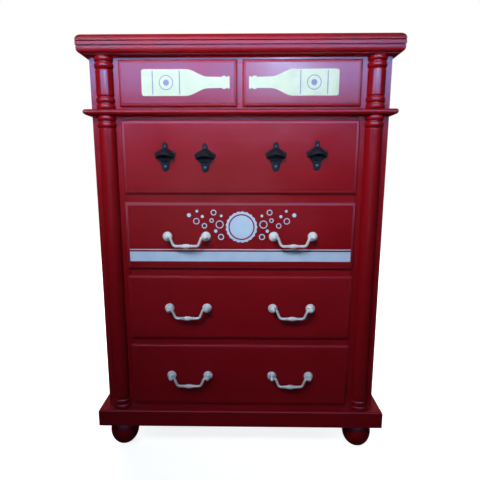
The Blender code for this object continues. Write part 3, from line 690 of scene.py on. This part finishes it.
def make_face_frame(red_x, red_z, dull_x):
    """Stiles, rails and the upright between the small drawers, each its own board."""
    low, high = CASE_LOW.z, CASE_HIGH.z
    back = FRONT + FRAME_THICK
    top_low, top_high = opening("top_left")
    for side, (x0, x1) in zip(("left", "right"), mirrored(STILE_INNER, CASE_HALF)):
        mesh = boards_mesh([((x0, FRONT, low), (x1, back, high))])
        add_red("stile_" + side, mesh, red_z, "face_frame")
    boards = {"top_rail": ((-STILE_INNER, top_high), (STILE_INNER, high), red_x),
              "bottom_rail": ((-STILE_INNER, low), (STILE_INNER, opening("fifth")[0]), dull_x),
              "muntin": ((-MUNTIN_HALF, top_low + GAP), (MUNTIN_HALF, top_high), red_z)}
    for name, ((x0, z0), (x1, z1), paint) in boards.items():
        mesh = boards_mesh([((x0 + SEAM, FRONT, z0 + SEAM), (x1 - SEAM, back, z1 - SEAM))])
        add_red(name, mesh, paint, "face_frame")


def column_profile(low, high):
    """(radius, height): two rings at each end of a plain shaft."""
    end = []
    pitch = RING_HEIGHT + NECK_HEIGHT
    shaft = 2 * pitch
    for foot in (0.0, pitch):
        for i in range(13):
            turn = pi * i / 12
            swell = (RING_RADIUS - NECK_RADIUS) * sin(turn) ** 0.8
            end.append((NECK_RADIUS + swell, foot + RING_HEIGHT * (1 - cos(turn)) / 2))
        end.append((NECK_RADIUS - 0.0004, foot + RING_HEIGHT + NECK_HEIGHT / 2))
    end += [(NECK_RADIUS + 0.0002, shaft - 0.0006), (SHAFT_RADIUS - 0.0006, shaft + 0.0012),
            (SHAFT_RADIUS, shaft + 0.0026)]
    return ([(radius, low + z) for radius, z in end]
            + [(radius, high - z) for radius, z in reversed(end)])


def make_columns(red_z):
    """Split turnings on the stiles, flat behind."""
    for place in ("upper_left", "upper_right", "lower_left", "lower_right"):
        node = "column_" + place
        low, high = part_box(node)
        rings = []
        for radius, z in column_profile(low.z, high.z):
            edge = asin((COLUMN_BEHIND + GAP) / radius)
            rings += turned_rings([(radius, z)], 36, pi + edge, pi - 2 * edge)
        mesh = loft_mesh(rings, TURNED_SHARP)
        at = (centre(node).x, FRONT + COLUMN_BEHIND, 0.0)
        add_red("split_" + node, mesh, red_z, node, at)


def make_web_frames(red_x, dull_x, wood):
    """Under each row: a painted rail in the face, and a bare frame that carries the drawers."""
    rows = ("fifth", "fourth", "third", "second", "top_left")
    behind = FRONT + FRAME_THICK
    half = STILE_INNER - GAP
    for number, (below, above) in enumerate(zip(rows, rows[1:]), start=1):
        node = f"web_frame_{number}"
        low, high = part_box(node)
        top = opening(above)[0]
        mesh = boards_mesh([((-half, FRONT, opening(below)[1]), (half, behind, top))])
        add_red(f"rail_{number}", mesh, dull_x if below in LOW_ROWS else red_x, node)
        base = top - WEB_THICK
        near, far = behind + GAP, high.y
        inside, beyond = near + WEB_RAIL + SEAM, far - WEB_RAIL - SEAM
        boards = [((low.x, near, base), (high.x, near + WEB_RAIL, top)),
                  ((low.x, far - WEB_RAIL, base), (high.x, far, top))]
        runners = mirrored(RUNNER_INNER, high.x)
        guides = mirrored(GUIDE_INNER, high.x)
        if above == "top_left":
            runners.append((-MIDDLE_RUNNER, MIDDLE_RUNNER))
            guides.append((0.001 - MUNTIN_HALF, MUNTIN_HALF - 0.001))
        boards += [((x0, inside, base), (x1, beyond, top)) for x0, x1 in runners]
        boards += [((x0, near, top + SEAM), (x1, far, top + GUIDE_HEIGHT)) for x0, x1 in guides]
        add_piece(f"drawer_runners_{number}", boards_mesh(boards), wood, "case", [node])


def make_plinth(paint, wood):
    """Mitred plinth boards with a rounded upper edge, foot blocks, and the lowest runners."""
    box_low, box_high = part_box("base_plinth")
    low, top = box_low.z, CASE_LOW.z - GAP
    under = top - PLINTH_LEDGE
    reach = box_high.x - CASE_HALF
    inner = reach - PLINTH_WALL
    front, back = box_low.y + reach, box_high.y - reach
    profile = [(inner, low), (reach - 0.0008, low), (reach, low + 0.0008)]
    profile += arc((reach - PLINTH_ROUND, top - PLINTH_ROUND), PLINTH_ROUND, 0, 90, 8)
    profile += [(-PLINTH_LAP, top), (-PLINTH_LAP, under), (inner, under)]
    corners = [(-CASE_HALF, front, -1, -1), (CASE_HALF, front, 1, -1),
               (CASE_HALF, back, 1, 1), (-CASE_HALF, back, -1, 1)]
    add_red("plinth_boards", runs_mesh(profile, corners + corners[:1]), paint, "base_plinth")
    web_low, web_top = box_high.z - WEB_THICK, box_high.z
    x, y0, y1 = CASE_HALF - PLINTH_LAP, front + PLINTH_LAP, back - PLINTH_LAP
    inside, beyond = y0 + PLINTH_RAIL, y1 - PLINTH_RAIL
    boards = [((-x, y0, web_low), (x, inside, web_top)), ((-x, beyond, web_low), (x, y1, web_top))]
    for x0, x1 in mirrored(x - PLINTH_RAIL, x):
        boards.append(((x0, inside + SEAM, web_low), (x1, beyond - SEAM, web_top)))
    block = inner - GAP
    for x0, x1 in mirrored(BLOCK_INNER, CASE_HALF + block):
        for y in (front - block, back + block - BLOCK_DEEP):
            boards.append(((x0, y, low + GAP), (x1, y + BLOCK_DEEP, under - GAP)))
    add_piece("plinth_frame", boards_mesh(boards), wood, "case", ["base_plinth"])


def make_feet(paint):
    """Turned bun feet: almost balls, flat below, with a plain neck under the plinth."""
    low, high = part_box("bun_foot_front_left")
    radius = (high.y - low.y) / 2
    start = degrees(asin(-FOOT_MIDDLE / FOOT_BULGE))
    stop = degrees(acos((FOOT_NECK + 0.0015) / radius))
    ball = arc((0.0, FOOT_MIDDLE), radius, start, stop, 32, FOOT_BULGE)
    profile = [(ball[0][0] - 0.0010, 0.0)]
    profile += [(reach, max(0.0006, z)) for reach, z in ball]
    profile += [(FOOT_NECK, ball[-1][1] + 0.0004), (FOOT_NECK, high.z)]
    mesh = loft_mesh(turned_rings(profile, 64), TURNED_SHARP)
    for corner in ("front_left", "front_right", "back_left", "back_right"):
        x, y, _ = centre("bun_foot_" + corner)
        add_red("turned_foot_" + corner, mesh, paint, "bun_foot_" + corner, (x, y, 0.0))


def make_back(ply, steel):
    """The plywood stays as packed, with a row of pins round its edge."""
    repaint("back_panel", ply)
    x0, x1 = BACK_LOW.x + PIN_INSET, BACK_HIGH.x - PIN_INSET
    z0, z1 = BACK_LOW.z + PIN_INSET, BACK_HIGH.z - PIN_INSET
    places = [(x, z0 + (z1 - z0) * i / 8) for i in range(9) for x in (x0, x1)]
    places += [(x0 + (x1 - x0) * i / 7, z) for i in range(1, 7) for z in (z0, z1)]
    head = turned_rings(PIN_HEAD, 16)
    bm = bmesh.new()
    for x, z in places:
        add_loft(bm, [[(x + a, BACK_HIGH.y + c, z + b) for a, b, c in ring] for ring in head])
    add_piece("back_pins", mesh_from(bm, TURNED_SHARP), steel, "case")


# ---- drawer fronts


def front_steps():
    """(inset, y) from the back of a drawer's front, round its lip and over its moulded edge."""
    core, lip, start = LIP + CORE_CLEARANCE, FRONT - GAP, FACE + THUMBNAIL_DROP
    steps = [(core, FRONT + CORE_BACK), (core, lip), (FRONT_EASED, lip),
             (0.0, lip - FRONT_EASED), (0.0, start)]
    steps += arc((THUMBNAIL, start), THUMBNAIL, 180, 270, 10, THUMBNAIL_DROP - FRONT_QUIRK)[1:]
    return steps + [(THUMBNAIL + 0.0002, FACE + 0.0004), (THUMBNAIL + 0.0004, FACE + 0.0001),
                    (THUMBNAIL + 0.0008, FACE)]


def make_fronts(red_x, dull_x, moulded):
    """Lipped fronts with a thumbnail edge that ends in a small step, grooved for their bottoms."""
    for drawer in DRAWERS:
        node = drawer + "_drawer_front"
        low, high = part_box(node)
        rings = []
        for inset, y in front_steps():
            x0, x1, z0, z1 = low.x + inset, high.x - inset, low.z + inset, high.z - inset
            rings.append([(x0, y, z0), (x1, y, z0), (x1, y, z1), (x0, y, z1)])
        base_low, base_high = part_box(drawer + "_drawer_base")
        groove = ((base_low.x - GAP, base_low.y - GAP, base_low.z - GAP),
                  (base_high.x + GAP, FRONT + CORE_BACK + 0.01, base_high.z + GAP))
        mesh = carved(loft_mesh(rings), [boards_mesh([groove], 0.00005, 1)])
        for paint in (dull_x, dull_x) if drawer in LOW_ROWS else (red_x, moulded):
            mesh.materials.append(paint)
        for face in mesh.polygons:
            face.material_index = int(face.center.y > FACE + 0.0002)
        add_piece(drawer + "_moulded_front", mesh, None, drawer + "_drawer", [node])


def finish_boxes():
    """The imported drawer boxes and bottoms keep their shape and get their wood."""
    for drawer in DRAWERS:
        repaint(drawer + "_drawer_box", bare_wood(drawer + "_box_pine", boxed=True))
        repaint(drawer + "_drawer_base", hardboard(drawer + "_bottom_board"))


# ---- pulls


def post_mesh(depth):
    """A pull's post, about its foot on the drawer's face, with its ball head bored across."""
    head = depth - HEAD_RADIUS
    rim = ROSETTE_RADIUS
    profile = [(rim - 0.0004, GAP), (rim, 0.0007), (rim, 0.0013)]
    profile += arc((rim - 0.0050, 0.0013), 0.0050, 12, 90, 6, 0.0046)
    profile += POST_STEM
    profile += arc((0.0, head), HEAD_RADIUS, -48, 84, 12)
    profile.append((0.0004, depth))
    body = loft_mesh(facing_front(turned_rings(profile, 40)), TURNED_SHARP)
    rings = turned_rings([(BAIL_BORE, -0.012), (BAIL_BORE, 0.012)], 24)
    bore = loft_mesh([[(z, -head + x, y) for x, y, z in ring] for ring in rings])
    return carved(body, [bore], sharp=TURNED_SHARP)


def smooth_line(points, steps):
    """A Catmull-Rom line through points of any dimension, `steps` parts to each stretch."""
    line = []
    vectors = [Vector(point) for point in points]
    vectors = [vectors[0], *vectors, vectors[-1]]
    for before, start, stop, after in zip(vectors, vectors[1:], vectors[2:], vectors[3:]):
        for step in range(steps):
            t = step / steps
            line.append(0.5 * (2 * start + t * (stop - before)
                               + t * t * (2 * before - 5 * start + 4 * stop - after)
                               + t ** 3 * (3 * start - before - 3 * stop + after)))
    line.append(vectors[-1])
    return line


def bail_half():
    """(x, z, radius) from the middle of the grip to the right-hand pin."""
    half = [(x, -BAIL_DROP, radius) for x, radius in BAIL_GRIP]
    half += [(x, z, BAIL_WIRE) for x, z in arc((0.0285, 0.0120 - BAIL_DROP), 0.0120, -90, -30, 5)]
    half += [(POST_HALF + x, z, radius) for x, z, radius in BAIL_ARM]
    line = [tuple(point) for point in smooth_line(half, 3)]
    return line + [(POST_HALF + x, 0.0, radius) for x, radius in BAIL_END]


def bail_mesh():
    """The swinging handle, about its own axis, hanging straight down."""
    right = bail_half()
    line = [(-x, z, radius) for x, z, radius in reversed(right[1:])] + right
    sides = 20
    rings = []
    for (x, z, radius), before, after in zip(line, line[:1] + line, line[1:] + line[-1:]):
        along = Vector((after[0] - before[0], after[1] - before[1])).normalized()
        ring = []
        for i in range(sides):
            turn = tau * i / sides
            out = radius * cos(turn)
            ring.append((x - out * along.y, radius * sin(turn), z + out * along.x))
        rings.append(ring)
    return loft_mesh(rings, 45)


def make_pulls(white):
    """Two turned posts and a swinging handle for each pull."""
    low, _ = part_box("third_drawer_left_post_left")
    post = post_mesh(FACE - low.y)
    bail = bail_mesh()
    for row in PULLED:
        drawer = row + "_drawer"
        for side in ("left", "right"):
            pull = drawer + "_" + side
            for end in ("left", "right"):
                node = pull + "_post_" + end
                x, _, height = centre(node)
                add_piece(pull + "_turned_post_" + end, post, white, drawer,
                          [node], (x, FACE, height))
            node = pull + "_bail"
            x, y, _ = centre(node)
            add_piece(pull + "_swing_handle", bail, white, node, [node],
                      (x, y, height))


# ---- bottle openers


def opener_outline():
    """The backplate from the front: a narrow upper tab, two wings and a round lower tab."""
    right = arc((0.0, 0.0345), 0.0075, 90, 0, 8)
    right += OPENER_WING
    right += arc((0.0, -0.0310), 0.0110, 6, -90, 10)
    return right + [(-x, z) for x, z in reversed(right[1:-1])]


def hood_mesh():
    """The hood that levers the cap: a visor, open below, with a wall all round."""
    rows = smooth_line(HOOD_ROWS, 4)
    across = 28
    rings = []
    for i in range(across + 1):
        turn = pi * i / across - pi / 2
        side, ahead = sin(turn), cos(turn) ** 0.9
        ring = []
        for thinner, way in ((0.0, 1), (HOOD_WALL, -1)):
            for half, out, z, droop in rows[::way]:
                drop = thinner * min(1.0, (z - 0.005) / 0.003)
                ring.append(((half - thinner) * side, -0.0020 - max(out - thinner, 0.0008) * ahead,
                             z - drop - droop * abs(side) ** 1.4))
        rings.append(ring)
    return loft_mesh(rings)


def opener_mesh():
    """The whole casting about its middle, its corners softened as sand casting leaves them."""
    rings = []
    for y, shrink in ((-GAP, 1.0), (0.0010 - PLATE_THICK, 1.0), (-PLATE_THICK, 0.965)):
        rings.append([(x * shrink, y, z * shrink) for x, z in opener_outline()])
    rough = carved(loft_mesh(rings), [hood_mesh(), boards_mesh([TOOTH], 0.0008)], "UNION")
    work = link("work", rough)
    remesh = work.modifiers.new("cast", "REMESH")
    remesh.mode = "VOXEL"
    remesh.voxel_size = CAST_VOXEL
    soften = work.modifiers.new("soften", "SMOOTH")
    soften.factor = 0.5
    soften.iterations = 5
    cast = settled(work, [], 60)
    bore = facing_front(turned_rings([(0.0026, -0.02), (0.0026, 0.02)], 24))
    holes = [loft_mesh([[(x, y, z + c) for x, y, c in ring] for ring in bore])
             for z in (SCREW_SPREAD, -SCREW_SPREAD)]
    return carved(cast, holes, sharp=50)


def screw_mesh(radius):
    """A pan-head screw with a crossed slot, about the plate's face at y = 0."""
    profile = [(0.0020, GAP - PLATE_THICK), (0.0020, 0.0001), (radius - 0.0003, 0.0001),
               (radius, 0.0004)]
    profile += arc((0.0, 0.0009), radius, 0, 84, 7, 0.0017)
    head = loft_mesh(facing_front(turned_rings(profile, 32)), TURNED_SHARP)
    slots = []
    for turned in (SCREW_TURN, SCREW_TURN + pi / 2):
        slots.append(boards_mesh([SCREW_SLOT], 0.0001))
        slots[-1].transform(Matrix.Rotation(turned, 4, "Y"))
    return carved(head, slots, sharp=TURNED_SHARP)


def make_openers(iron, steel):
    """Four castings on the second drawer, each with a small screw above and a large one below."""
    casting = opener_mesh()
    screws = (("upper", screw_mesh(0.0036), SCREW_SPREAD), ("lower", screw_mesh(0.0050), -SCREW_SPREAD))
    for number in range(1, 5):
        node = f"bottle_opener_{number}"
        x, z = centre(node).x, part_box(node)[1].z - OPENER_ABOVE
        add_piece(f"cast_opener_{number}", casting, iron, "second_drawer", [node],
                  (x, FACE, z))
        for end, mesh, up in screws:
            add_piece(f"opener_screw_{number}_{end}", mesh, steel, "second_drawer",
                      at=(x, FACE - PLATE_THICK, z + up))


# ---- painted decoration


def plate_mesh(outlines, lift=0.0, thick=0.00022):
    """Thin layers of paint, each an outline of (x, z) or a pair of outlines with a hole."""
    bm = bmesh.new()
    front = FACE - lift - thick
    back = FACE - lift + 0.00003
    for outline in outlines:
        if isinstance(outline, list):
            add_loft(bm, [[(x, y, z) for x, z in outline] for y in (back, front)])
            continue
        outer, inner = outline
        rings = [[(x, y, z) for x, z in edge]
                 for y, edge in ((front, outer), (front, inner), (back, inner), (back, outer))]
        add_loft(bm, rings, closed=True)
    return mesh_from(bm)


def circle(x, z, radius, steps=40):
    return arc((x, z), radius, 0, 360 - 360 / steps, steps - 1)


def rectangle(x0, z0, x1, z1):
    return [(x0, z0), (x1, z0), (x1, z1), (x0, z1)]


def bottle_outline(base_x, way, length, z):
    """A plain straight-sided long-necked bottle lying on its side, from its base to its mouth."""
    body, throat, lip = BOTTLE_HALF, THROAT_HALF, MOUTH_HALF
    upper = [(0.0, body - 0.006)]
    upper += [(0.006 - 0.006 * cos(t), body - 0.006 + 0.006 * sin(t))
              for t in (0.4, 0.8, 1.2, pi / 2)]
    shoulder, shoulder_end = 0.50 * length, 0.76 * length
    for i in range(17):
        part = i / 16
        half = throat + (body - throat) * (1 + cos(pi * part)) / 2
        upper.append((shoulder + part * (shoulder_end - shoulder), half))
    upper += [(0.915 * length, throat - 0.0008), (0.918 * length, lip), (0.955 * length, lip),
              (0.958 * length, throat - 0.0008), (0.975 * length, throat - 0.0008),
              (0.978 * length, lip - 0.0008), (length - 0.001, lip - 0.0008), (length, lip - 0.002)]
    return ([(base_x + way * d, z + half) for d, half in upper]
            + [(base_x + way * d, z - half) for d, half in reversed(upper)])


def make_bottles(mint, label):
    """A stencilled bottle with a plain banded label on each small drawer."""
    for drawer, base_x, neck_x in BOTTLES:
        body = drawer + "_drawer"
        z = centre(body + "_front").z + 0.001
        way = copysign(1, neck_x - base_x)
        shape = plate_mesh([bottle_outline(base_x, way, abs(neck_x - base_x), z)])
        add_piece(drawer + "_stencilled_bottle", shape, mint, body)
        marks = []
        for d in LABEL_BANDS:
            x0, x1 = sorted((base_x + way * d, base_x + way * (d + LABEL_BAND)))
            marks.append(rectangle(x0, z - LABEL_HALF, x1, z + LABEL_HALF))
        middle = base_x + way * LABEL_MIDDLE
        marks.append(tuple(circle(middle, z, radius) for radius in LABEL_RING))
        marks.append(circle(middle, z, LABEL_DOT, 32))
        add_piece(drawer + "_bottle_label", plate_mesh(marks, 0.0002, 0.0001), label, body)


def crown_outline(x, z, radius, flutes=21, wave=0.0022):
    """The fluted rim of a crown cap."""
    points = []
    steps = flutes * 8
    for i in range(steps):
        turn = tau * i / steps
        reach = radius - wave * abs(sin(flutes * turn / 2)) ** 1.5
        points.append((x + reach * cos(turn), z + reach * sin(turn)))
    return points


def make_emblem(pale):
    """Stripes across the third drawer, and a crown cap among bubbles in its middle."""
    low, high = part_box("third_drawer_front")
    x0, x1 = low.x + THUMBNAIL + 0.0012, high.x - THUMBNAIL - 0.0012
    shapes = [rectangle(x0, low.z + z0, x1, low.z + z1) for z0, z1 in STRIPES]
    x, z = EMBLEM[0], low.z + EMBLEM[1]
    rim = crown_outline(x, z, CROWN_RADIUS)
    shapes.append((rim, circle(x, z, CROWN_RADIUS - CROWN_RIM, len(rim))))
    shapes.append(circle(x, z, CROWN_RADIUS - CROWN_RIM - CROWN_LINE, 72))
    for dx, dz, radius in BUBBLES:
        for sign in (-1, 1):
            bx, bz = x + sign * dx, z + dz
            if radius > HOLLOW_BUBBLE:
                shapes.append((circle(bx, bz, radius), circle(bx, bz, radius - BUBBLE_RIM)))
            else:
                shapes.append(circle(bx, bz, radius, 24))
    add_piece("third_drawer_stencilled_stripes", plate_mesh(shapes), pale, "third_drawer")


# ---- the studio


def add_softbox(name, place, target, size, power, colour, spread, role):
    lamp = bpy.data.lights.new(name, "AREA")
    lamp.shape = "RECTANGLE"
    lamp.size, lamp.size_y = size
    lamp.energy = power
    lamp.color = colour
    lamp.spread = radians(spread)
    holder = link(name, lamp)
    holder.visible_camera = False
    holder.visible_glossy = role != "surfaces"
    holder.visible_diffuse = role != "reflections"
    holder.location = place
    holder.rotation_euler = (Vector(target) - Vector(place)).to_track_quat("-Z", "Y").to_euler()


def make_world():
    """White to the camera; to the object, a dim dome that is brighter above."""
    world = bpy.data.worlds.new("studio")
    bpy.context.scene.world = world
    world.use_nodes = True
    nodes = Nodes(world.node_tree)
    up = nodes.separate(nodes.node("TexCoord").outputs["Generated"])[2]
    dome = nodes.blend(nodes.remap(up, *DOME_RISE), DOME_LOW, DOME_HIGH)
    seen = nodes.blend(nodes.node("LightPath").outputs["Is Camera Ray"], dome, (1.0, 1.0, 1.0))
    nodes.put(seen, world.node_tree.nodes["Background"].inputs["Color"])


def make_floor():
    """A wide plain floor. It lights nothing, so that the lowest drawers stay dark."""
    bm = bmesh.new()
    bmesh.ops.create_circle(bm, cap_ends=True, radius=FLOOR_RADIUS, segments=96)
    floor = link("studio_floor", mesh_from(bm))
    floor.data.materials.append(pale_floor("studio_floor"))
    floor.visible_diffuse = False
    floor.visible_glossy = False


def make_camera():
    """A hand-held phone's place: in front, a little right of the middle, looking slightly down."""
    lens = bpy.data.cameras.new("camera")
    lens.sensor_width = SENSOR
    lens.lens = LENS
    camera = link("camera", lens)
    yaw, pitch = radians(CAMERA_YAW), radians(CAMERA_PITCH)
    ahead = Vector((sin(yaw) * cos(pitch), cos(yaw) * cos(pitch), -sin(pitch)))
    camera.location = (CAMERA_X, FRONT - CAMERA_DISTANCE, CAMERA_HEIGHT)
    camera.rotation_euler = ahead.to_track_quat("-Z", "Y").to_euler()
    bpy.context.scene.camera = camera


def main():
    view = bpy.context.scene.view_settings
    view.view_transform = "Standard"
    view.look = "None"
    make_camera()
    red_x = red_paint("red_paint_across", "X")
    red_z = red_paint("red_paint_upright", "Z")
    moulded = red_paint("red_paint_mouldings", "X", DULL_SHINE, 0.3)
    dull_x = red_paint("red_paint_low_across", "X", DULL_SHINE, 0.6, 0.20)
    dull_z = red_paint("red_paint_low_upright", "Z", DULL_SHINE, 0.6, 0.20)
    wood = bare_wood("runner_pine")
    steel = screw_steel("screw_steel")
    make_top(moulded)
    make_cornice(moulded)
    make_waist(moulded)
    make_sides(red_z)
    make_face_frame(red_x, red_z, dull_x)
    make_columns(red_z)
    make_web_frames(red_x, dull_x, wood)
    make_plinth(dull_x, wood)
    make_feet(dull_z)
    make_back(plywood("back_plywood"), steel)
    make_fronts(red_x, dull_x, moulded)
    finish_boxes()
    make_pulls(white_enamel("pull_enamel"))
    make_openers(black_iron("opener_iron"), steel)
    make_bottles(stencil_paint("mint_stencil", (0.48, 0.57, 0.45), (0.56, 0.64, 0.50)),
                 stencil_paint("label_stencil", (0.17, 0.17, 0.33), (0.23, 0.23, 0.42)))
    make_emblem(stencil_paint("pale_blue_stencil", (0.46, 0.60, 0.79), (0.54, 0.67, 0.85)))
    make_floor()
    make_world()
    for name, values in SOFTBOXES.items():
        add_softbox(name, *values)


main()
